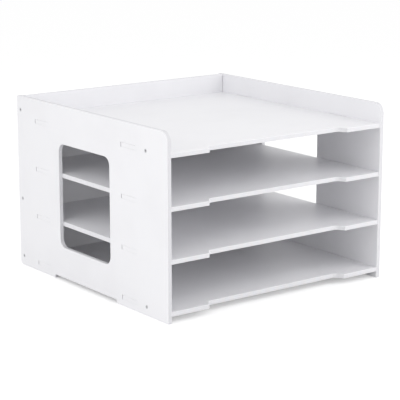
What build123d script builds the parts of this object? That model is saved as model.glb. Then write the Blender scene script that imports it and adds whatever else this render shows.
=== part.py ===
from build123d import *
import os

os.makedirs("parts", exist_ok=True)

# A desktop file rack cut from one thickness of white board. Two side panels carry a back panel
# and four shelves. Each shelf has two tenons at each end, which pass through mortises in the
# side panels, and ten screws hold the boards together.
# The front faces -Y and +Z is up. The origin is on the desk, under the middle of the rack.

# Overall size
width = 370.0
depth = 370.0
height = 250.0
board = 6.0

# Corners of the side panels, and the small round that softens an exposed edge
front_top_radius = 14.0
rear_top_radius = 2.0
rear_bottom_radius = 6.0
front_bottom_radius = 1.0
arris = 0.6

# Feet: the bottom edge of a side panel is cut away between them
front_foot = 118.0
rear_foot = 95.5
foot_height = 5.0
foot_radius = 3.0

# Window in a side panel, by the board left on each side of it
window_front_margin = 132.0
window_rear_margin = 111.5
window_bottom_margin = 49.0
window_top_margin = 53.5
window_radius = 12.0

# Shelves: the lowest one is just clear of the desk, and the side panels stand above the top one
shelf_count = 4
lowest_shelf = 9.0
tray_lip = 28.0
shelf_setback = 1.0

# Finger notch in the front edge of a shelf
notch_margin = 61.0
notch_depth = 12.0
notch_slope = 60.0
notch_inner_radius = 8.0
notch_lip_radius = 1.0

# Tenons, and the play that their mortises leave above them and behind them
tenon_width = 33.5
front_tenon_inset = 70.0
rear_tenon_inset = 51.0
tenon_chamfer = 0.3
tenon_recess = 0.1
mortise_play_above = 0.2
mortise_play_behind = 1.0

# Back panel, between the side panels with a little play at each end
back_inset = 7.0
back_desk_gap = 5.0
back_play = 0.3

# Screws: countersunk head with a cross recess, plain shank and a point
screw_length = 25.0
screw_radius = 1.15
screw_head_radius = 2.6
screw_head_rim = 0.1
screw_point = 3.5
screw_sink = 0.1
cross_span = 3.0
cross_width = 0.7
cross_depth = 1.2
cross_taper = 10.0

# Where the screws go
front_screw_inset = 48.0
low_rear_screw = 14.0
middle_rear_screw = 100.0
top_rear_screw_margin = 20.0

# Holes for the screws
countersink_angle = 90.0
countersink_gap = 0.3
shank_clearance = 0.4
pilot_clearance = 0.1
pilot_tip_room = 1.5

# Planes that the boards share
front = -depth / 2
rear = depth / 2
outer_face = width / 2
inner_face = outer_face - board
back_rear_face = rear - back_inset
back_front_face = back_rear_face - board
shelf_front = front + shelf_setback

shelf_pitch = (height - tray_lip - board - lowest_shelf) / (shelf_count - 1)
shelf_undersides = [lowest_shelf + step * shelf_pitch for step in range(shelf_count)]

tenon_length = board - tenon_recess
front_tenon = front + front_tenon_inset + tenon_width / 2
rear_tenon = rear - rear_tenon_inset - tenon_width / 2

# Corners of a side panel as (Y, Z), with their radii
panel_corners = [
    ((front, 0), front_bottom_radius),
    ((rear, 0), rear_bottom_radius),
    ((front, height), front_top_radius),
    ((rear, height), rear_top_radius),
]

# Screw places as (Y, Z): along the middle of the back panel, and into the ends of two shelves
back_middle = (back_front_face + back_rear_face) / 2
rear_screw_places = [
    (back_middle, low_rear_screw),
    (back_middle, middle_rear_screw),
    (back_middle, height - top_rear_screw_margin),
]
front_screw_places = [
    (front + front_screw_inset, shelf_undersides[0] + board / 2),
    (front + front_screw_inset, shelf_undersides[-1] + board / 2),
]

LEFT = -1
RIGHT = 1


def facing_outwards(side, x, places):
    """Locations at a distance x to one side of the middle, whose own Z axis points outwards."""
    return [Location((side * x, y, z), (0, side * 90, 0)) for y, z in places]


def side_panel(label):
    """The left side panel: outline, window, mortises and countersunk screw holes."""
    with BuildPart() as panel:
        with BuildSketch(Plane.YZ.offset(-outer_face)) as outline:
            Rectangle(depth, height, align=(Align.CENTER, Align.MIN))
            for corner, radius in panel_corners:
                fillet(outline.vertices().sort_by_distance(corner)[0], radius)

            foot_gap = depth - front_foot - rear_foot
            with Locations((front + front_foot + foot_gap / 2, 0)):
                Rectangle(foot_gap, foot_height, align=(Align.CENTER, Align.MIN), mode=Mode.SUBTRACT)
            foot_corners = outline.vertices().filter_by_position(
                Axis.Y, foot_height, foot_height, inclusive=(True, True)
            )
            fillet(foot_corners, foot_radius)

            window_length = depth - window_front_margin - window_rear_margin
            window_height = height - window_bottom_margin - window_top_margin
            window_middle = (
                front + window_front_margin + window_length / 2,
                window_bottom_margin + window_height / 2,
            )
            with Locations(window_middle):
                RectangleRounded(window_length, window_height, window_radius, mode=Mode.SUBTRACT)
        extrude(amount=board)

        # The edges of both faces, round the outline and the window, before the joints are cut
        fillet(panel.faces().filter_by(Axis.X).edges(), arris)

        mortise_middle = (
            (front_tenon + rear_tenon + mortise_play_behind) / 2,
            (shelf_undersides[0] + shelf_undersides[-1] + board + mortise_play_above) / 2,
        )
        with BuildSketch(Plane.YZ.offset(-outer_face)):
            with Locations(mortise_middle):
                with GridLocations(rear_tenon - front_tenon, shelf_pitch, 2, shelf_count):
                    Rectangle(tenon_width + mortise_play_behind, board + mortise_play_above)
        extrude(amount=board, mode=Mode.SUBTRACT)

        with Locations(*facing_outwards(LEFT, outer_face, rear_screw_places + front_screw_places)):
            CounterSinkHole(
                radius=screw_radius + shank_clearance,
                counter_sink_radius=screw_head_radius + countersink_gap,
                depth=board,
                counter_sink_angle=countersink_angle,
            )
    panel.part.label = label
    return panel.part


def pilot_holes(side, places):
    """Holes for screws in the end of a board that butts against a side panel."""
    with Locations(*facing_outwards(side, inner_face, places)):
        Hole(screw_radius + pilot_clearance, screw_length - board + pilot_tip_room)


def shelf(label, underside, screw_places):
    """A shelf with a finger notch in its front edge and two tenons at each end."""
    with BuildPart() as board_part:
        with BuildSketch(Plane.XY.offset(underside)) as plan:
            with Locations((0, shelf_front)):
                Rectangle(2 * inner_face, back_front_face - shelf_front, align=(Align.CENTER, Align.MIN))
                Trapezoid(
                    2 * (inner_face - notch_margin),
                    notch_depth,
                    notch_slope,
                    align=(Align.CENTER, Align.MIN),
                    mode=Mode.SUBTRACT,
                )
            notch_corners = plan.vertices().group_by(Axis.Y)[1]
            fillet(notch_corners, notch_inner_radius)
            notch_lips = plan.vertices().group_by(Axis.Y)[0].sort_by(Axis.X)[1:3]
            fillet(notch_lips, notch_lip_radius)

            tenon_middle = inner_face + tenon_length / 2
            with Locations((0, (front_tenon + rear_tenon) / 2)):
                with GridLocations(2 * tenon_middle, rear_tenon - front_tenon, 2, 2):
                    Rectangle(tenon_length, tenon_width)
        extrude(amount=board)

        front_edges = board_part.edges().filter_by_position(
            Axis.Y, shelf_front, shelf_front + notch_depth
        )
        fillet(front_edges.group_by(Axis.Z)[0] + front_edges.group_by(Axis.Z)[-1], arris)
        tenon_ends = board_part.faces().group_by(Axis.X)[0] + board_part.faces().group_by(Axis.X)[-1]
        chamfer(tenon_ends.edges(), tenon_chamfer)

        for side in (LEFT, RIGHT):
            if screw_places:
                pilot_holes(side, screw_places)
    board_part.part.label = label
    return board_part.part


def back_panel(label):
    """The back panel, which stands between the side panels behind the shelves."""
    with BuildPart() as panel:
        with BuildSketch(Plane.XY.offset(back_desk_gap)):
            with Locations((0, back_middle)):
                Rectangle(2 * (inner_face - back_play), board)
        extrude(amount=height - back_desk_gap)
        fillet(panel.faces().filter_by(Axis.Y).edges(), arris)
        for side in (LEFT, RIGHT):
            pilot_holes(side, rear_screw_places)
    panel.part.label = label
    return panel.part


def screw():
    """One countersunk screw, with the top of its head at the origin and its point towards -Z."""
    head_foot = screw_head_rim + screw_head_radius - screw_radius
    with BuildPart() as fastener:
        with BuildSketch(Plane.XZ):
            with BuildLine():
                Polyline(
                    (0, 0),
                    (screw_head_radius, 0),
                    (screw_head_radius, -screw_head_rim),
                    (screw_radius, -head_foot),
                    (screw_radius, screw_point - screw_length),
                    (0, -screw_length),
                    close=True,
                )
            make_face()
        revolve(axis=Axis.Z)
        with BuildSketch():
            Rectangle(cross_span, cross_width)
            Rectangle(cross_width, cross_span)
        extrude(amount=-cross_depth, taper=cross_taper, mode=Mode.SUBTRACT)
    return fastener.part


def screw_group(label, side, places):
    """The screws of one joint, with their heads sunk just below the outer face."""
    with BuildPart() as group:
        with Locations(*facing_outwards(side, outer_face - screw_sink, places)):
            add(screw())
    group.part.label = label
    return group.part


left = side_panel("left_side_panel")
with BuildPart() as right_side_panel:
    mirror(left, about=Plane.YZ)
right_side_panel.part.label = "right_side_panel"

pieces = [left, right_side_panel.part, back_panel("back_panel")]

shelf_names = ["bottom_shelf", "lower_middle_shelf", "upper_middle_shelf", "top_shelf"]
for name, underside in zip(shelf_names, shelf_undersides):
    screw_places = [place for place in front_screw_places if underside < place[1] < underside + board]
    pieces.append(shelf(name, underside, screw_places))

for side, name in ((LEFT, "left"), (RIGHT, "right")):
    pieces.append(screw_group(name + "_rear_screws", side, rear_screw_places))
    pieces.append(screw_group(name + "_front_screws", side, front_screw_places))

for piece in pieces:
    export_step(piece, "parts/" + piece.label + ".step")
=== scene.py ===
"""Looks of the desktop file rack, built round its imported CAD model.

The boards keep their CAD shapes and get a foamed white plastic with a satin skin and routed
edges. Each group of screws is replaced by threaded screws with a cross recess, set out by
Geometry Nodes. A pale floor, soft lamps and the camera finish the scene. Lengths are in metres.
"""

import logging
import math
from dataclasses import dataclass, field, replace
from enum import Enum
from typing import Callable, Sequence

import bmesh
import bpy
from mathutils import Matrix, Vector


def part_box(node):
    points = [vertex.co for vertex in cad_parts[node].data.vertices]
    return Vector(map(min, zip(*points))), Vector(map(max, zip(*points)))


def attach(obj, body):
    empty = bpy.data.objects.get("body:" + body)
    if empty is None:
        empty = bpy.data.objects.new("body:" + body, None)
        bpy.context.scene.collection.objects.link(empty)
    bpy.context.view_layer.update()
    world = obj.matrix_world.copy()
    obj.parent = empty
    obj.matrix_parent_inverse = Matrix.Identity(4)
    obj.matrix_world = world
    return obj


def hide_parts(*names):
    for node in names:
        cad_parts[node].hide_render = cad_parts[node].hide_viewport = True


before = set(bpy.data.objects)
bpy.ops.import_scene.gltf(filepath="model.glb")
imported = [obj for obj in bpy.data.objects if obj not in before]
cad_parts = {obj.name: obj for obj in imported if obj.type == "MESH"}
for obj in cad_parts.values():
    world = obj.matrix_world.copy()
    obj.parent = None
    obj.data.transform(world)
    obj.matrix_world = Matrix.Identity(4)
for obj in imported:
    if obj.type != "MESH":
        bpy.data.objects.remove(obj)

ROOT_BODY = "root"
MM = 0.001

SRGB_TOE = 0.04045
SRGB_TOE_SLOPE = 12.92
SRGB_OFFSET = 0.055
SRGB_POWER = 2.4

log = logging.getLogger("file_rack")

Colour = tuple[float, float, float, float]
Point = tuple[float, float, float]
Band = tuple[float, float]
Sockets = dict[str | int, object]
Shape = bmesh.types.BMesh
Vertex = bmesh.types.BMVert
Loop = list[Vertex]


def paint(red: float, green: float, blue: float) -> Colour:
    """Turns a colour as it looks on a screen into the linear values that shaders take.

    Args:
        red: Red from 0 to 1, as a picture file holds it.
        green: Green from 0 to 1.
        blue: Blue from 0 to 1.

    Returns:
        Linear red, green and blue, and an alpha of 1.
    """
    linear = [
        part / SRGB_TOE_SLOPE
        if part <= SRGB_TOE
        else ((part + SRGB_OFFSET) / (1 + SRGB_OFFSET)) ** SRGB_POWER
        for part in (red, green, blue)
    ]
    return (linear[0], linear[1], linear[2], 1.0)


class Graph:
    """The nodes of one material, world or geometry tree."""

    # A Mix node's sockets for colours, which share their names with others.
    MIX_SHARE, MIX_FIRST, MIX_SECOND = 0, 6, 7
    MIX_RESULT = 2

    def __init__(self, tree: bpy.types.NodeTree) -> None:
        """Starts on an empty tree."""
        self.tree = tree
        tree.nodes.clear()

    def node(
        self,
        kind: str,
        settings: dict[str, object] | None = None,
        sockets: Sockets | None = None,
    ) -> bpy.types.Node:
        """Adds a node.

        Args:
            kind: The node's type, such as ShaderNodeBump.
            settings: Its own settings, such as a Math node's operation, set before its sockets.
            sockets: Values or links for its inputs, by name or number.

        Returns:
            The new node.
        """
        made = self.tree.nodes.new(kind)
        for name, setting in (settings or {}).items():
            setattr(made, name, setting)
        for key, value in (sockets or {}).items():
            self.feed(made.inputs[key], value)
        return made

    def feed(self, socket: bpy.types.NodeSocket, value: object) -> None:
        """Links a value or an output to an input, or sets the input to a plain value.

        Args:
            socket: The input.
            value: A Value, another node's output, or a number, vector or colour.
        """
        if isinstance(value, Value):
            self.tree.links.new(value.socket, socket)
        elif isinstance(value, bpy.types.NodeSocket):
            self.tree.links.new(value, socket)
        else:
            socket.default_value = value

    def value(
        self, kind: str, settings: dict[str, object], sockets: Sockets, output: int = 0
    ) -> "Value":
        """Adds a node and wraps one of its outputs, so that Python operators work on it."""
        return Value(self, self.node(kind, settings, sockets).outputs[output])

    def blend(self, share: object, first: object, second: object) -> bpy.types.NodeSocket:
        """Mixes two colours.

        Args:
            share: How much of the second colour shows, from 0 to 1.
            first: The colour where share is 0.
            second: The colour where share is 1.

        Returns:
            The mixed colour's output.
        """
        sockets: Sockets = {self.MIX_SHARE: share, self.MIX_FIRST: first, self.MIX_SECOND: second}
        return self.node("ShaderNodeMix", {"data_type": "RGBA"}, sockets).outputs[self.MIX_RESULT]


class Value:
    """A number in a node tree, on which Python operators add Math nodes."""

    def __init__(self, graph: Graph, socket: bpy.types.NodeSocket) -> None:
        """Wraps an output of a node in the graph."""
        self.graph = graph
        self.socket = socket

    def _math(self, operation: str, *terms: object) -> "Value":
        """Adds one Math node on the given terms."""
        return self.graph.value("ShaderNodeMath", {"operation": operation}, dict(enumerate(terms)))

    def __add__(self, other: object) -> "Value":
        """This value plus another."""
        return self._math("ADD", self, other)

    def __radd__(self, other: object) -> "Value":
        """A number plus this value."""
        return self._math("ADD", other, self)

    def __sub__(self, other: object) -> "Value":
        """This value less another."""
        return self._math("SUBTRACT", self, other)

    def __rsub__(self, other: object) -> "Value":
        """A number less this value."""
        return self._math("SUBTRACT", other, self)

    def __mul__(self, other: object) -> "Value":
        """This value times another."""
        return self._math("MULTIPLY", self, other)

    def __rmul__(self, other: object) -> "Value":
        """A number times this value."""
        return self._math("MULTIPLY", other, self)

    def __abs__(self) -> "Value":
        """This value without its sign."""
        return self._math("ABSOLUTE", self)

    def wave(self, length: float) -> "Value":
        """A smooth wave between 0 and 1 that repeats each time this value grows by length."""
        return self._math("SINE", self * (math.tau / length)) * 0.5 + 0.5

    def larger(self, other: object) -> "Value":
        """The larger of this value and another."""
        return self._math("MAXIMUM", self, other)

    def rise(self, low: float, high: float) -> "Value":
        """Rises smoothly, and stays level outside its ends.

        Args:
            low: Where it leaves 0.
            high: Where it reaches 1.

        Returns:
            A value from 0 to 1.
        """
        return self.graph.value(
            "ShaderNodeMapRange",
            {"interpolation_type": "SMOOTHSTEP"},
            {"Value": self, "From Min": low, "From Max": high},
        )


@dataclass(frozen=True)
class Noise:
    """One kind of soft random noise.

    Attributes:
        size: The width of its blotches.
        detail: How many finer layers lie on it.
        band: The levels between which a blotch rises from nothing to full.
        roughness: How strong each finer layer is beside the one below it.
    """

    size: float
    detail: float = 1.0
    band: Band = (0.0, 1.0)
    roughness: float = 0.55


class Surface(Graph):
    """A surface material that is read from the object's own coordinates."""

    # The level that noise has on average.
    NOISE_MEAN = 0.5

    def __init__(self, name: str) -> None:
        """Makes an empty material.

        Args:
            name: The material's name.
        """
        self.material = bpy.data.materials.new(name)
        self.material.use_nodes = True
        super().__init__(self.material.node_tree)

    def position(self) -> bpy.types.NodeSocket:
        """The point on the object."""
        return self.node("ShaderNodeTexCoord").outputs["Object"]

    def parts(self, position: bpy.types.NodeSocket) -> list[Value]:
        """The three coordinates of a position."""
        split = self.node("ShaderNodeSeparateXYZ", {}, {0: position})
        return [Value(self, output) for output in split.outputs]

    def grain(
        self, position: bpy.types.NodeSocket, noise: Noise, density: Point = (1.0, 1.0, 1.0)
    ) -> Value:
        """Soft random noise.

        Args:
            position: Where to read it.
            noise: Its kind.
            density: How much denser it is along each axis.

        Returns:
            The noise, from 0 to 1.
        """
        scaled = self.node(
            "ShaderNodeVectorMath", {"operation": "MULTIPLY"}, {0: position, 1: density}
        )
        return self.value(
            "ShaderNodeTexNoise",
            {},
            {
                "Vector": scaled.outputs[0],
                "Scale": 1.0 / noise.size,
                "Detail": noise.detail,
                "Roughness": noise.roughness,
            },
        )

    def cells(self, position: bpy.types.NodeSocket, size: float) -> Value:
        """The distance to the middle of the nearest cell, where cells are that wide."""
        return self.value("ShaderNodeTexVoronoi", {}, {"Vector": position, "Scale": 1.0 / size})

    def bump(
        self, height: Value, depth: float, under: bpy.types.NodeSocket | None = None
    ) -> bpy.types.NodeSocket:
        """A normal that height presses into the surface.

        Args:
            height: The height, from 0 to 1.
            depth: How far 1 stands above 0.
            under: The normal of a coarser bump that this one lies on.

        Returns:
            The normal's output.
        """
        sockets: Sockets = {"Height": height, "Distance": depth, "Strength": 1.0}
        if under is not None:
            sockets["Normal"] = under
        return self.node("ShaderNodeBump", {}, sockets).outputs["Normal"]

    def close(self, sockets: Sockets) -> bpy.types.Material:
        """Ends the material in a Principled shader.

        Args:
            sockets: The shader's values and links, by name.

        Returns:
            The finished material.
        """
        shader = self.node("ShaderNodeBsdfPrincipled", {}, sockets)
        self.node("ShaderNodeOutputMaterial", {}, {"Surface": shader.outputs[0]})
        return self.material


class Facing(Enum):
    """The axis that a board's two faces look along."""

    SIDEWAYS = 0
    FORWARDS = 1
    UPWARDS = 2


@dataclass(frozen=True)
class Lie:
    """How a board lies.

    Attributes:
        facing: The axis that its faces look along.
        middle: The middle of its thickness on that axis.
        thickness: Its thickness.
        tenon_tip: How far out on the X axis its tenons' tips lie, or None for no tenons. The tips
            are dressed flush with the side panels, and look like the skin.
    """

    facing: Facing
    middle: float
    thickness: float
    tenon_tip: float | None = None


@dataclass(frozen=True)
class FoamedBoard:
    """White foamed plastic board: a satin skin on both faces, and a cellular core at cut edges.

    Attributes:
        skin_colour: The colour of the faces.
        core_colour: The colour of the cut edges.
        soiled_colour: What age and hands turn the skin towards.
        pit_shade_colour: The painted shade in the core's open cells.
        skin_roughness: How matt the faces are.
        core_roughness: How matt the cut edges are.
        refraction: The plastic's index of refraction.
        skin_depth: How deep under a face the core starts to show.
        skin_fade: The depth over which the skin turns into the core.
        tip_fade: The length over which a tenon's core turns into its dressed tip.
        arris_start: The depths between which the band that hands touch begins.
        arris_end: The depths between which that band ends.
        clouds: The slow change of tone over a face.
        smudges: The uneven wear of the arris and of the gloss.
        streaks: The scuffs that goods leave as they slide.
        streak_density: How dense the scuffs are along their length.
        patches: Where on a face scuffs are found.
        waves: The slow unevenness of the skin.
        pebbles: The fine pebble of the skin.
        jitter: The unevenness of the cutter marks.
        cell: The width of the core's cells.
        cell_band: The distances from a cell's middle between which its pit closes.
        cutter_step: The distance between two cutter marks.
        slope_share: How much of the second axis the cutter marks follow.
        cloud_soil: How far the clouds soil the skin.
        arris_soil: How far the smudges soil the arris.
        pit_shade: How far the painted shade in the open cells darkens the core.
        smudge_roughness: How much the smudges change the gloss.
        scuff_roughness: How much rougher the scuffs are.
        arris_polish: How much smoother hands have made the arris.
        wave_height: The height of the waves.
        pebble_height: The height of the pebbles.
        core_height: The depth of the pits and cutter marks.
        pit_share: The pits' share in that depth.
    """

    skin_colour: Colour = paint(0.944, 0.943, 0.954)
    core_colour: Colour = paint(0.888, 0.887, 0.900)
    soiled_colour: Colour = paint(0.880, 0.877, 0.888)
    pit_shade_colour: Colour = paint(0.72, 0.72, 0.74)
    skin_roughness: float = 0.42
    core_roughness: float = 0.62
    refraction: float = 1.47
    skin_depth: float = 0.45 * MM
    skin_fade: float = 0.35 * MM
    tip_fade: float = 0.2 * MM
    arris_start: Band = (0.02 * MM, 0.12 * MM)
    arris_end: Band = (0.42 * MM, 0.72 * MM)
    clouds: Noise = Noise(90 * MM, 3.0, (0.42, 0.75))
    smudges: Noise = Noise(14 * MM, 4.0, (0.4, 0.7))
    streaks: Noise = Noise(1.6 * MM, 1.0, (0.60, 0.74))
    streak_density: float = 0.06
    patches: Noise = Noise(45 * MM, 1.0, (0.5, 0.66))
    waves: Noise = Noise(38 * MM)
    pebbles: Noise = Noise(0.7 * MM, 2.0)
    jitter: Noise = Noise(5 * MM)
    cell: float = 0.22 * MM
    cell_band: Band = (0.15, 0.6)
    cutter_step: float = 0.8 * MM
    slope_share: float = 0.83
    cloud_soil: float = 0.16
    arris_soil: float = 0.35
    pit_shade: float = 0.35
    smudge_roughness: float = 0.09
    scuff_roughness: float = 0.12
    arris_polish: float = 0.06
    wave_height: float = 0.06 * MM
    pebble_height: float = 0.012 * MM
    core_height: float = 0.02 * MM
    pit_share: float = 0.7

    def material(self, name: str, lie: Lie) -> bpy.types.Material:
        """Makes the board's material.

        Args:
            name: The material's name.
            lie: How the board lies, which tells its faces from its cut edges.

        Returns:
            The finished material.
        """
        surface = Surface(name)
        position = surface.position()
        parts = surface.parts(position)
        across = parts.pop(lie.facing.value)
        depth = lie.thickness / 2 - abs(across - lie.middle)
        core = depth.rise(self.skin_depth, self.skin_depth + self.skin_fade)
        if lie.tenon_tip is not None:
            tip = abs(parts[0]).rise(lie.tenon_tip - self.tip_fade, lie.tenon_tip)
            core = core * (1.0 - tip)
        arris = depth.rise(*self.arris_start) * (1.0 - depth.rise(*self.arris_end))

        clouds = surface.grain(position, self.clouds)
        smudges = surface.grain(position, self.smudges)
        colour = surface.blend(core, self.skin_colour, self.core_colour)
        clouded = clouds.rise(*self.clouds.band) * self.cloud_soil
        handled = arris * smudges.rise(*self.smudges.band) * self.arris_soil
        colour = surface.blend(clouded + handled, colour, self.soiled_colour)
        # Painted shade darkens the core's open cells, where the pores are.
        cells = surface.cells(position, self.cell).rise(*self.cell_band)
        colour = surface.blend((1.0 - cells) * core * self.pit_shade, colour, self.pit_shade_colour)

        uneven = self.skin_roughness + (smudges - surface.NOISE_MEAN) * self.smudge_roughness
        scuffed = self._scuffs(surface, position, lie.facing) * self.scuff_roughness
        roughness = uneven + scuffed - arris * self.arris_polish
        roughness = roughness + core * (self.core_roughness - self.skin_roughness)

        normal = self._relief(surface, position, parts, core, cells)
        return surface.close(
            {
                "Base Color": colour,
                "Roughness": roughness,
                "Normal": normal,
                "IOR": self.refraction,
            }
        )

    def _scuffs(
        self, surface: Surface, position: bpy.types.NodeSocket, facing: Facing
    ) -> Value:
        """Faint rubbed streaks from goods slid in and out, long along the board.

        Args:
            surface: The material.
            position: Where to read them.
            facing: The axis that the board's faces look along.

        Returns:
            The streaks, 1 where the skin is rubbed.
        """
        along_x = (self.streak_density, 1.0, 1.0)
        along_y = (1.0, self.streak_density, 1.0)
        density = along_x if facing is Facing.FORWARDS else along_y
        streaks = surface.grain(position, self.streaks, density)
        patches = surface.grain(position, self.patches)
        return streaks.rise(*self.streaks.band) * patches.rise(*self.patches.band)

    def _relief(
        self,
        surface: Surface,
        position: bpy.types.NodeSocket,
        along: Sequence[Value],
        core: Value,
        cells: Value,
    ) -> bpy.types.NodeSocket:
        """The skin's pebble and slow waves, and the core's open cells and cutter marks.

        Args:
            surface: The material.
            position: Where to read them.
            along: The two coordinates along the board's faces.
            core: 1 on the core, and 0 on the skin.
            cells: 0 in the core's open cells, and 1 between them.

        Returns:
            The normal's output.
        """
        waves = surface.grain(position, self.waves)
        pebbles = surface.grain(position, self.pebbles)
        marks = (along[0] + along[1] * self.slope_share).wave(self.cutter_step)
        jitter = surface.grain(position, self.jitter)
        normal = surface.bump(waves, self.wave_height)
        normal = surface.bump(pebbles * (1.0 - core), self.pebble_height, normal)
        cut = (cells * self.pit_share + marks * jitter) * core
        return surface.bump(cut, self.core_height, normal)


@dataclass(frozen=True)
class ZincPlate:
    """Bright zinc on steel, turned on the head, made dull in the recess and darkened there with
    painted shade.

    Attributes:
        colour: The colour of the zinc.
        recess_shade_colour: The painted shade that darkens the zinc deep in the recess.
        roughness: How matt it is.
        turning_pitch: The distance between two turned rings.
        turning_height: The height of the rings.
        bloom: The uneven bloom of the plating.
        bloom_roughness: How much the bloom changes the gloss.
        recess_depth: How deep in the recess the zinc is fully dull and the painted shade is full.
        recess_roughness: How much rougher it is there.
        radius_name: The number on each vertex that holds its distance from the axis.
        sunk_name: The number on each vertex that holds how deep it lies in the recess.
    """

    colour: Colour = paint(0.80, 0.80, 0.81)
    recess_shade_colour: Colour = paint(0.34, 0.34, 0.36)
    roughness: float = 0.30
    turning_pitch: float = 0.09 * MM
    turning_height: float = 0.002 * MM
    bloom: Noise = Noise(0.9 * MM, 3.0)
    bloom_roughness: float = 0.18
    recess_depth: float = 0.5 * MM
    recess_roughness: float = 0.2
    radius_name: str = "turned_radius"
    sunk_name: str = "sunk_depth"

    # The Attribute node's output that holds a plain number.
    ATTRIBUTE_NUMBER = 2

    def material(self, name: str) -> bpy.types.Material:
        """Makes the screws' material, which reads the radius and recess depth of each vertex.

        Args:
            name: The material's name.

        Returns:
            The finished material.
        """
        surface = Surface(name)
        position = surface.position()
        radius = self._read(surface, self.radius_name)
        sunk = self._read(surface, self.sunk_name)
        rings = radius.wave(self.turning_pitch)
        bloom = surface.grain(position, self.bloom)
        # Deep in the recess the zinc turns rougher, which is its dull plating, and darker, which
        # is painted shade.
        dull_and_shaded = sunk.rise(0.0, self.recess_depth)
        colour = surface.blend(dull_and_shaded, self.colour, self.recess_shade_colour)
        roughness = self.roughness + (bloom - surface.NOISE_MEAN) * self.bloom_roughness
        roughness = roughness + dull_and_shaded * self.recess_roughness
        normal = surface.bump(rings * (1.0 - dull_and_shaded), self.turning_height)
        return surface.close(
            {"Base Color": colour, "Metallic": 1.0, "Roughness": roughness, "Normal": normal}
        )

    def _read(self, surface: Surface, name: str) -> Value:
        """One of the numbers that the mesh carries on its vertices."""
        return surface.value(
            "ShaderNodeAttribute", {"attribute_name": name}, {}, self.ATTRIBUTE_NUMBER
        )


@dataclass(frozen=True)
class BoardPiece:
    """A CAD node that is one board, and the way it lies."""

    node: str
    lie: Lie

    def dress(self, finish: FoamedBoard) -> bpy.types.Object:
        """Puts the finish on the CAD node.

        Args:
            finish: The board's finish.

        Returns:
            The CAD node's object.
        """
        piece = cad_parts[self.node]
        material = finish.material("white_board_" + self.node, self.lie)
        piece.data.materials.clear()
        piece.data.materials.append(material)
        return piece


@dataclass
class Carcass:
    """The two side panels and the back panel that join them."""

    finish: FoamedBoard
    side_panels: tuple[str, ...] = ("left_side_panel", "right_side_panel")
    back_panel: str = "back_panel"

    def build(self) -> list[bpy.types.Object]:
        """Dresses the three panels.

        Returns:
            The panels' objects.
        """
        pieces = [self._piece(name, Facing.SIDEWAYS) for name in self.side_panels]
        pieces.append(self._piece(self.back_panel, Facing.FORWARDS))
        return [piece.dress(self.finish) for piece in pieces]

    @staticmethod
    def _piece(name: str, facing: Facing) -> BoardPiece:
        """Reads from a panel's CAD box how it lies.

        Args:
            name: The panel's CAD node.
            facing: The axis that its faces look along.

        Returns:
            The panel, which has no tenons.
        """
        low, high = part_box(name)
        middle = (low[facing.value] + high[facing.value]) / 2
        return BoardPiece(name, Lie(facing, middle, high[facing.value] - low[facing.value]))


@dataclass
class Shelving:
    """The four shelves, whose tenons pass through the side panels."""

    finish: FoamedBoard
    shelves: tuple[str, ...] = (
        "bottom_shelf",
        "lower_middle_shelf",
        "upper_middle_shelf",
        "top_shelf",
    )

    def build(self) -> list[bpy.types.Object]:
        """Dresses the shelves.

        Returns:
            The shelves' objects.
        """
        dressed = []
        for name in self.shelves:
            low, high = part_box(name)
            lie = Lie(Facing.UPWARDS, (low.z + high.z) / 2, high.z - low.z, high.x)
            dressed.append(BoardPiece(name, lie).dress(self.finish))
        return dressed


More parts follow.
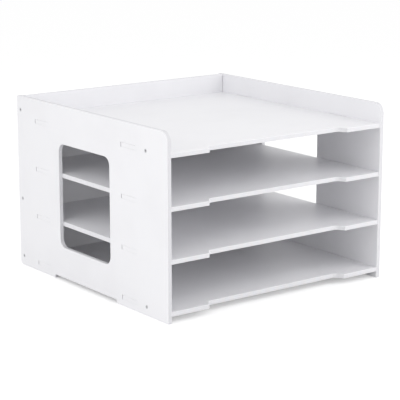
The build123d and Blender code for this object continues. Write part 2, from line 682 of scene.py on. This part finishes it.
@dataclass
class CrossHeadScrew:
    """A countersunk screw with a cross recess, its head's flat at the origin and its point down.

    Attributes:
        length: From the head's flat to the point.
        head_radius: The head's radius at its rim.
        rim: The height of the head's rim, above the cone.
        rim_round: The radius of the rim's upper edge.
        rim_bend: How far in and down the middle of that round lies, as shares of its radius.
        neck: The fillet under the head, as steps out from the shank and up from the cone's foot.
        shank_radius: The radius of the shank and of the thread's core.
        plain_shank: How far below the head's flat the thread starts.
        turns: How many turns the thread has.
        thread_height: How far the thread stands out.
        thread_profile: One turn of the thread, as shares of the pitch and of that height.
        point: The length over which the core narrows.
        point_cap: The length of the tip below the thread.
        point_radius: The core's radius at the tip.
        sides: How many sides a ring has.
        wing_span: How far out the recess's wings reach.
        wing_width: Half the width of a wing.
        wing_corner: The cut of a wing's outer corners.
        wing_fillet: The radius between two wings.
        fillet_bend: Where the middle of that radius lies, as a share of it.
        recess_ease: The cut of the recess's edge at the head's flat.
        recess_depth: The depth of the recess's middle.
        recess_floor: Its floor's outline, as shares of the span, the width and the depth.
        sharp_angle: From how many degrees on two faces meet in a sharp edge.
    """

    length: float = 25.0 * MM
    head_radius: float = 2.6 * MM
    rim: float = 0.1 * MM
    rim_round: float = 0.05 * MM
    rim_bend: tuple[float, float] = (0.3, 0.35)
    neck: tuple[tuple[float, float], ...] = (
        (0.12 * MM, 0.12 * MM),
        (0.03 * MM, -0.05 * MM),
        (0.0, -0.3 * MM),
    )
    shank_radius: float = 1.15 * MM
    plain_shank: float = 7.0 * MM
    turns: int = 13
    thread_height: float = 0.35 * MM
    thread_profile: tuple[tuple[float, float], ...] = (
        (0.0, 0.0),
        (0.30, 0.0),
        (0.46, 1.0),
        (0.54, 1.0),
        (0.70, 0.0),
    )
    point: float = 3.5 * MM
    point_cap: float = 0.3 * MM
    point_radius: float = 0.1 * MM
    sides: int = 32
    wing_span: float = 1.5 * MM
    wing_width: float = 0.35 * MM
    wing_corner: float = 0.1 * MM
    wing_fillet: float = 0.2 * MM
    fillet_bend: float = 0.29
    recess_ease: float = 0.06 * MM
    recess_depth: float = 1.2 * MM
    recess_floor: tuple[float, float, float] = (0.62, 0.6, 0.82)
    sharp_angle: float = 28.0

    def mesh(self, finish: ZincPlate) -> bpy.types.Mesh:
        """Builds one screw.

        Args:
            finish: The finish, which names the numbers that each vertex carries.

        Returns:
            The screw's closed mesh.
        """
        shape = bmesh.new()
        turned_radius = shape.verts.layers.float.new(finish.radius_name)
        sunk_depth = shape.verts.layers.float.new(finish.sunk_name)
        rim = self._ring(shape, self.head_radius - self.rim_round, 0.0)
        recess = self._recess(shape)
        # Nothing but the rim, which is level with the flat, and the recess is there yet.
        for vertex in shape.verts:
            vertex[sunk_depth] = abs(vertex.co.z)
        edges = [shape.edges.new((rim[n - 1], rim[n])) for n in range(self.sides)]
        edges += [shape.edges.get((recess[n - 1], recess[n])) for n in range(len(recess))]
        bmesh.ops.triangle_fill(shape, use_beauty=True, edges=edges)
        self._thread(shape, self._head(shape, rim))
        for vertex in shape.verts:
            vertex[turned_radius] = math.hypot(vertex.co.x, vertex.co.y)
        bmesh.ops.recalc_face_normals(shape, faces=shape.faces)
        many_sided = [face for face in shape.faces if len(face.verts) > 4]
        bmesh.ops.triangulate(shape, faces=many_sided)
        made = bpy.data.meshes.new("cross_head_screw")
        shape.to_mesh(made)
        shape.free()
        made.polygons.foreach_set("use_smooth", [True] * len(made.polygons))
        made.set_sharp_from_angle(angle=math.radians(self.sharp_angle))
        return made

    @staticmethod
    def _vertex(shape: Shape, radius: float, angle: float, height: float) -> Vertex:
        """One vertex, by its distance from the axis, the angle round it and its height."""
        return shape.verts.new((radius * math.cos(angle), radius * math.sin(angle), height))

    def _ring(self, shape: Shape, radius: float, height: float) -> Loop:
        """One level ring of vertices round the screw's axis."""
        angles = [math.tau * n / self.sides for n in range(self.sides)]
        return [self._vertex(shape, radius, angle, height) for angle in angles]

    @staticmethod
    def _band(shape: Shape, above: Loop, below: Loop) -> None:
        """Joins two closed loops of the same count with quads."""
        for n in range(len(above)):
            shape.faces.new((above[n - 1], above[n], below[n], below[n - 1]))

    @staticmethod
    def _fan(shape: Shape, loop: Loop, height: float) -> None:
        """Closes a loop with triangles.

        Args:
            shape: The screw so far.
            loop: The loop.
            height: Where on the axis the triangles meet.
        """
        middle = shape.verts.new((0.0, 0.0, height))
        for n in range(len(loop)):
            shape.faces.new((loop[n - 1], loop[n], middle))

    def _head(self, shape: Shape, rim: Loop) -> Loop:
        """Builds the countersunk head and the plain shank.

        Args:
            shape: The screw so far.
            rim: The ring round the head's flat.

        Returns:
            The ring where the thread starts.
        """
        shank, outer = self.shank_radius, self.head_radius
        foot = -(self.rim + outer - shank)
        bend_in, bend_down = self.rim_bend
        levels = (
            (outer - self.rim_round * bend_in, -self.rim_round * bend_down),
            (outer, -self.rim_round),
            (outer, -self.rim),
            *((shank + out, foot + up) for out, up in self.neck),
            (shank, -self.plain_shank),
        )
        above = rim
        for radius, height in levels:
            below = self._ring(shape, radius, height)
            self._band(shape, above, below)
            above = below
        return above

    def _outline(self, span: float, width: float) -> list[tuple[float, float]]:
        """The cross recess in plan: four wings with eased ends and filleted inner corners.

        Args:
            span: How far out the wings reach.
            width: Half the width of a wing.

        Returns:
            The outline's points, once round.
        """
        corner, fillet = self.wing_corner, self.wing_fillet
        bend = fillet * self.fillet_bend
        quarter = [
            (span - corner, -width),
            (span, corner - width),
            (span, width - corner),
            (span - corner, width),
            (width + fillet, width),
            (width + bend, width + bend),
            (width, width + fillet),
        ]
        outline = []
        for cosine, sine in ((1, 0), (0, 1), (-1, 0), (0, -1)):
            outline += [(x * cosine - y * sine, x * sine + y * cosine) for x, y in quarter]
        return outline

    def _recess(self, shape: Shape) -> Loop:
        """Builds the walls and floor of the recess.

        Args:
            shape: The screw so far.

        Returns:
            The recess's loop at the head's flat.
        """
        ease = self.recess_ease
        floor_span, floor_width, floor_depth = self.recess_floor
        levels = (
            (self.wing_span + ease, self.wing_width + ease, 0.0),
            (self.wing_span, self.wing_width, -ease),
            (
                self.wing_span * floor_span,
                self.wing_width * floor_width,
                -self.recess_depth * floor_depth,
            ),
        )
        loops = [
            [shape.verts.new((x, y, height)) for x, y in self._outline(span, width)]
            for span, width, height in levels
        ]
        for above, below in zip(loops, loops[1:]):
            self._band(shape, above, below)
        self._fan(shape, loops[-1], -self.recess_depth)
        return loops[0]

    def _core(self, height: float) -> float:
        """The radius under the thread, which narrows along the point."""
        share = min(1.0, (self.length + height) / self.point)
        return self.point_radius + (self.shank_radius - self.point_radius) * share

    def _thread(self, shape: Shape, top: Loop) -> None:
        """Builds one continuous thread from the plain shank to the point.

        Args:
            shape: The screw so far.
            top: The ring where the thread starts.
        """
        rows = self._thread_rows(shape, top[0])
        for here, after in zip(rows, rows[1:]):
            for n in range(len(here) - 1):
                shape.faces.new((here[n], after[n], after[n + 1], here[n + 1]))
        lower = rows[self.sides:]
        for n in range(len(lower) - 1):
            shape.faces.new((rows[n][-1], rows[n + 1][-1], lower[n + 1][0], lower[n][0]))
        self._join_shank(shape, top, rows)
        self._join_tip(shape, rows)

    def _thread_rows(self, shape: Shape, start: Vertex) -> list[Loop]:
        """Sets out the thread's profile at each step round the screw.

        Args:
            shape: The screw so far.
            start: The vertex of the shank that is the first row's first.

        Returns:
            One row of vertices for each step, from the shank down.
        """
        last = self.turns * self.sides
        pitch = (self.length - self.point_cap - self.plain_shank) / (self.turns + 1)
        rows = []
        for step in range(last + 1):
            angle = math.tau * (step % self.sides) / self.sides
            fade = min(1.0, step / self.sides, (last - step) / self.sides)
            row = [] if step else [start]
            for share, stand in self.thread_profile[len(row):]:
                height = -self.plain_shank - pitch * (step / self.sides + share)
                radius = self._core(height) + self.thread_height * stand * fade
                row.append(self._vertex(shape, radius, angle, height))
            rows.append(row)
        return rows

    def _join_shank(self, shape: Shape, top: Loop, rows: list[Loop]) -> None:
        """Closes the gap between the shank's last ring and the thread's first turn.

        Args:
            shape: The screw so far.
            top: The shank's last ring.
            rows: The thread's rows.
        """
        shape.faces.new((top[0], top[1], rows[1][0]))
        for n in range(1, self.sides - 1):
            shape.faces.new((top[n], top[n + 1], rows[n + 1][0], rows[n][0]))
        shape.faces.new((top[-1], *rows[0], rows[self.sides][0], rows[self.sides - 1][0]))

    def _join_tip(self, shape: Shape, rows: list[Loop]) -> None:
        """Closes the gap between the thread's last turn and the point.

        Args:
            shape: The screw so far.
            rows: The thread's rows.
        """
        height = self.point_cap - self.length
        tip = self._ring(shape, self._core(height), height)
        turn = rows[-self.sides - 1:]
        for n in range(1, self.sides):
            shape.faces.new((turn[n][-1], turn[n + 1][-1], tip[(n + 1) % self.sides], tip[n]))
        shape.faces.new((turn[0][-1], turn[1][-1], tip[1], tip[0], *reversed(turn[-1])))
        self._fan(shape, tip, -self.length)


@dataclass(frozen=True)
class ScrewPlaces:
    """One group of screws.

    Attributes:
        node: The CAD node that it stands for.
        side: -1 for the left side panel, and 1 for the right one.
        places: How far back and how high each head sits.
        seed: The seed for how far each screw is turned.
    """

    node: str
    side: int
    places: tuple[tuple[float, float], ...]
    seed: int


class ScrewTree:
    """The Geometry Nodes tree that sets out one group of screws."""

    # How many screws a group holds at most.
    MOST = 3
    # A Random Value node's sockets for numbers, which share their names with others.
    RANDOM_LEAST, RANDOM_MOST = 2, 3
    RANDOM_NUMBER = 1

    def __init__(self) -> None:
        """Makes the tree with its named inputs."""
        self.tree = bpy.data.node_groups.new("set_out_screws", "GeometryNodeTree")
        self.graph = Graph(self.tree)
        self.inputs: dict[str, str] = {}
        self._socket("Screw", "NodeSocketGeometry")
        self._socket("Count", "NodeSocketInt")
        for number in range(self.MOST):
            self._socket(f"Place {number + 1}", "NodeSocketVector")
        self._socket("Lean", "NodeSocketVector")
        self._socket("Seed", "NodeSocketInt")
        self._socket("Finish", "NodeSocketMaterial")
        self.tree.interface.new_socket("Screws", in_out="OUTPUT", socket_type="NodeSocketGeometry")
        self._fill()

    def _socket(self, name: str, kind: str) -> None:
        """Adds one named input."""
        made = self.tree.interface.new_socket(name, in_out="INPUT", socket_type=kind)
        self.inputs[name] = made.identifier

    def _fill(self) -> None:
        """Adds the nodes: a screw at each place, leant over and turned at random."""
        graph = self.graph
        given = graph.node("NodeGroupInput").outputs
        chosen = graph.node("GeometryNodeIndexSwitch", {"data_type": "VECTOR"})
        while len(chosen.index_switch_items) < self.MOST:
            chosen.index_switch_items.new()
        graph.feed(chosen.inputs[0], graph.node("GeometryNodeInputIndex").outputs[0])
        for number in range(self.MOST):
            graph.feed(chosen.inputs[number + 1], given[f"Place {number + 1}"])
        points = graph.node(
            "GeometryNodePoints", {}, {"Count": given["Count"], "Position": chosen.outputs[0]}
        )
        turn = graph.node(
            "FunctionNodeRandomValue",
            {"data_type": "FLOAT"},
            {self.RANDOM_LEAST: -math.pi, self.RANDOM_MOST: math.pi, "Seed": given["Seed"]},
        )
        spin = graph.node(
            "FunctionNodeAxisAngleToRotation",
            {},
            {"Axis": (0.0, 0.0, 1.0), "Angle": turn.outputs[self.RANDOM_NUMBER]},
        )
        lean = graph.node("FunctionNodeEulerToRotation", {}, {0: given["Lean"]})
        both = graph.node(
            "FunctionNodeRotateRotation",
            {"rotation_space": "LOCAL"},
            {0: lean.outputs[0], 1: spin.outputs[0]},
        )
        placed = graph.node(
            "GeometryNodeInstanceOnPoints",
            {},
            {"Points": points.outputs[0], "Instance": given["Screw"], "Rotation": both.outputs[0]},
        )
        solid = graph.node("GeometryNodeRealizeInstances", {}, {0: placed.outputs[0]})
        finished = graph.node(
            "GeometryNodeSetMaterial",
            {},
            {"Geometry": solid.outputs[0], "Material": given["Finish"]},
        )
        graph.node("NodeGroupOutput", {}, {0: finished.outputs[0]})

    def set_out(
        self, name: str, screw: bpy.types.Mesh, values: dict[str, object]
    ) -> bpy.types.Object:
        """Makes one group of screws as a plain mesh.

        Args:
            name: The new object's name.
            screw: The mesh of one screw.
            values: The tree's inputs, by name.

        Returns:
            The object, with no modifier left on it.
        """
        piece = bpy.data.objects.new(name, screw.copy())
        bpy.context.scene.collection.objects.link(piece)
        modifier = piece.modifiers.new("set_out", "NODES")
        modifier.node_group = self.tree
        for label, value in values.items():
            modifier[self.inputs[label]] = value
        graph = bpy.context.evaluated_depsgraph_get()
        made = bpy.data.meshes.new_from_object(
            piece.evaluated_get(graph), preserve_all_data_layers=True, depsgraph=graph
        )
        piece.modifiers.clear()
        piece.data = made
        made.name = name
        return piece


@dataclass
class Fastenings:
    """The ten screws that hold the boards together.

    Attributes:
        finish: The screws' finish.
        screw: The screw, which is the same everywhere.
        slot: The name of a material slot, which nothing here uses.
        head_x: How far to the side the heads' flats lie.
        rear_y: How far back the screws into the back panel sit.
        front_y: How far back the screws into the shelves sit.
        rear_heights: The heights of the screws into the back panel.
        front_heights: The heights of the screws into the bottom and top shelves.
    """

    finish: ZincPlate
    screw: CrossHeadScrew = field(default_factory=CrossHeadScrew)
    slot: str = "screw_steel"
    head_x: float = 184.9 * MM
    rear_y: float = 175.0 * MM
    front_y: float = -137.0 * MM
    rear_heights: tuple[float, ...] = (14.0 * MM, 100.0 * MM, 230.0 * MM)
    front_heights: tuple[float, ...] = (12.0 * MM, 219.0 * MM)

    def groups(self) -> list[ScrewPlaces]:
        """Lists the screws.

        Returns:
            Four groups, one at the back and one at the front of each side panel.
        """
        rear = tuple((self.rear_y, height) for height in self.rear_heights)
        front = tuple((self.front_y, height) for height in self.front_heights)
        return [
            ScrewPlaces("left_rear_screws", -1, rear, 3),
            ScrewPlaces("left_front_screws", -1, front, 5),
            ScrewPlaces("right_rear_screws", 1, rear, 8),
            ScrewPlaces("right_front_screws", 1, front, 13),
        ]

    def build(self) -> list[bpy.types.Object]:
        """Sets out the screws in place of their CAD nodes.

        Returns:
            One object for each group.
        """
        material = self.finish.material("screw_zinc")
        single = self.screw.mesh(self.finish)
        single.materials.append(material)
        tree = ScrewTree()
        made = []
        for group in self.groups():
            places = [(group.side * self.head_x, y, z) for y, z in group.places]
            places += [places[-1]] * (ScrewTree.MOST - len(places))
            values: dict[str, object] = {
                "Count": len(group.places),
                "Lean": (0.0, group.side * math.pi / 2, 0.0),
                "Seed": group.seed,
                "Finish": material,
            }
            values.update({f"Place {n + 1}": place for n, place in enumerate(places)})
            piece = tree.set_out(group.node + "_threaded", single, values)
            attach(piece, ROOT_BODY)
            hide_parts(group.node)
            made.append(piece)
        return made


@dataclass(frozen=True)
class Softbox:
    """A large dim lamp that faces a point on the rack, and that no view or shine shows.

    Attributes:
        name: The lamp's name.
        place: Where it hangs.
        side: The side of its square.
        power: Its power in watts.
        target: The point that it faces.
    """

    name: str
    place: Point
    side: float
    power: float
    target: Point = (0.0, 0.0, 0.12)

    def build(self) -> bpy.types.Object:
        """Hangs the lamp.

        Returns:
            The lamp's object.
        """
        lamp = bpy.data.lights.new(self.name, "AREA")
        lamp.shape = "SQUARE"
        lamp.size = self.side
        lamp.energy = self.power
        made = bpy.data.objects.new(self.name, lamp)
        away = Vector(self.place) - Vector(self.target)
        turned = away.to_track_quat("Z", "Y").to_matrix().to_4x4()
        made.matrix_world = Matrix.Translation(self.place) @ turned
        made.visible_camera = False
        made.visible_glossy = False
        bpy.context.scene.collection.objects.link(made)
        return made


@dataclass(frozen=True)
class ProductCamera:
    """A long lens that looks down at the rack's left front corner, as the photograph does.

    Attributes:
        place: Where it stands.
        heading: How far it looks to the right of straight back, in degrees.
        tilt: How far it looks down, in degrees.
        lens: Its focal length in millimetres.
        sensor: The width of its sensor in millimetres.
        nearest: The nearest distance that it sees.
        farthest: The farthest distance that it sees.
    """

    place: Point = (-1.2516, -1.6710, 0.5863)
    heading: float = 36.94
    tilt: float = 13.01
    lens: float = 134.8
    sensor: float = 36.0
    nearest: float = 0.05
    farthest: float = 60.0

    def build(self) -> bpy.types.Object:
        """Sets up the camera.

        Returns:
            The camera's object.
        """
        data = bpy.data.cameras.new("product_camera")
        data.lens = self.lens
        data.sensor_width = self.sensor
        data.sensor_fit = "HORIZONTAL"
        data.clip_start = self.nearest
        data.clip_end = self.farthest
        made = bpy.data.objects.new("product_camera", data)
        heading, tilt = math.radians(self.heading), math.radians(self.tilt)
        made.location = self.place
        made.rotation_euler = (math.pi / 2 - tilt, 0.0, -heading)
        bpy.context.scene.collection.objects.link(made)
        bpy.context.scene.camera = made
        return made


@dataclass
class Studio:
    """The pale floor, the lamps, the world and the camera.

    Attributes:
        floor_reach: How far out the floor goes on each side.
        floor_drop: How far under the feet it lies.
        floor_colour: Its colour.
        floor_glow: How much it glows where it is seen.
        glow_colour: The colour of that glow.
        backdrop: The world's colour, in linear values.
        world_level: How much light the world gives, beside what is seen of it.
        lamps: The lamps.
    """

    floor_reach: float = 14.0
    floor_drop: float = 0.05 * MM
    floor_colour: Colour = paint(0.955, 0.955, 0.955)
    floor_glow: float = 0.28
    glow_colour: Colour = (1.0, 1.0, 1.0, 1.0)
    backdrop: Colour = (0.985, 0.985, 0.985, 1.0)
    world_level: float = 0.80
    lamps: tuple[Softbox, ...] = (
        Softbox("softbox_left", (-1.1, -0.30, 0.7), 1.2, 3.6),
        Softbox("softbox_front", (0.70, -0.95, 0.62), 1.1, 4.7),
        Softbox("softbox_rear", (0.4, 1.4, 0.9), 1.4, 2.6),
    )

    def build(self) -> list[bpy.types.Object]:
        """Makes everything round the rack.

        Returns:
            The camera, the floor and the lamps.
        """
        bpy.context.scene.view_settings.view_transform = "Standard"
        self._world()
        return [ProductCamera().build(), self._floor(), *[lamp.build() for lamp in self.lamps]]

    @staticmethod
    def _seen(graph: Graph) -> Value:
        """Tells the rays that show the background from those that light the rack.

        Args:
            graph: The tree that asks.

        Returns:
            1 for a ray from the camera, or one that a mirror or glass sends on, and 0 for others.
        """
        path = graph.node("ShaderNodeLightPath").outputs
        camera = Value(graph, path["Is Camera Ray"])
        return camera.larger(path["Is Glossy Ray"]).larger(path["Is Transmission Ray"])

    def _world(self) -> None:
        """White where it is seen, and a soft even light everywhere."""
        world = bpy.data.worlds.new("studio_world")
        world.use_nodes = True
        graph = Graph(world.node_tree)
        seen = self._seen(graph)
        light = graph.node(
            "ShaderNodeBackground",
            {},
            {"Color": self.backdrop, "Strength": seen + (1.0 - seen) * self.world_level},
        )
        graph.node("ShaderNodeOutputWorld", {}, {"Surface": light.outputs[0]})
        bpy.context.scene.world = world

    def _floor(self) -> bpy.types.Object:
        """A wide white floor just under the feet, which keeps the rack's shadow.

        Returns:
            The floor's object.
        """
        reach, level = self.floor_reach, -self.floor_drop
        corners = [
            (-reach, -reach, level),
            (reach, -reach, level),
            (reach, reach, level),
            (-reach, reach, level),
        ]
        mesh = bpy.data.meshes.new("floor")
        mesh.from_pydata(corners, [], [(0, 1, 2, 3)])
        made = bpy.data.objects.new("floor", mesh)
        bpy.context.scene.collection.objects.link(made)
        mesh.materials.append(self._floor_material())
        return made

    def _floor_material(self) -> bpy.types.Material:
        """White that glows a little where it is seen, so that only the shadow shows on it.

        Returns:
            The finished material.
        """
        surface = Surface("studio_floor")
        diffuse = surface.node("ShaderNodeBsdfDiffuse", {}, {"Color": self.floor_colour})
        glow = surface.node(
            "ShaderNodeEmission",
            {},
            {"Color": self.glow_colour, "Strength": self._seen(surface) * self.floor_glow},
        )
        both = surface.node("ShaderNodeAddShader", {}, {0: diffuse.outputs[0], 1: glow.outputs[0]})
        surface.node("ShaderNodeOutputMaterial", {}, {"Surface": both.outputs[0]})
        return surface.material


def main() -> None:
    """Builds the studio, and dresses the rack."""
    logging.basicConfig(level=logging.INFO, format="%(name)s: %(message)s")
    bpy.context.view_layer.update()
    white_board = FoamedBoard()
    # The shelves take a copy of the board whose cut edges are paler and smoother than the panels'.
    pale_edged_board = replace(white_board, core_colour=paint(0.918, 0.917, 0.928), core_roughness=0.5)
    assemblies: list[tuple[str, Callable[[], list[bpy.types.Object]]]] = [
        ("studio", Studio().build),
        ("carcass", Carcass(white_board).build),
        ("shelving", Shelving(pale_edged_board).build),
        ("fastenings", Fastenings(ZincPlate()).build),
    ]
    for name, build in assemblies:
        for piece in build():
            log.info("%s: %s", name, piece.name)


if __name__ == "__main__":
    main()
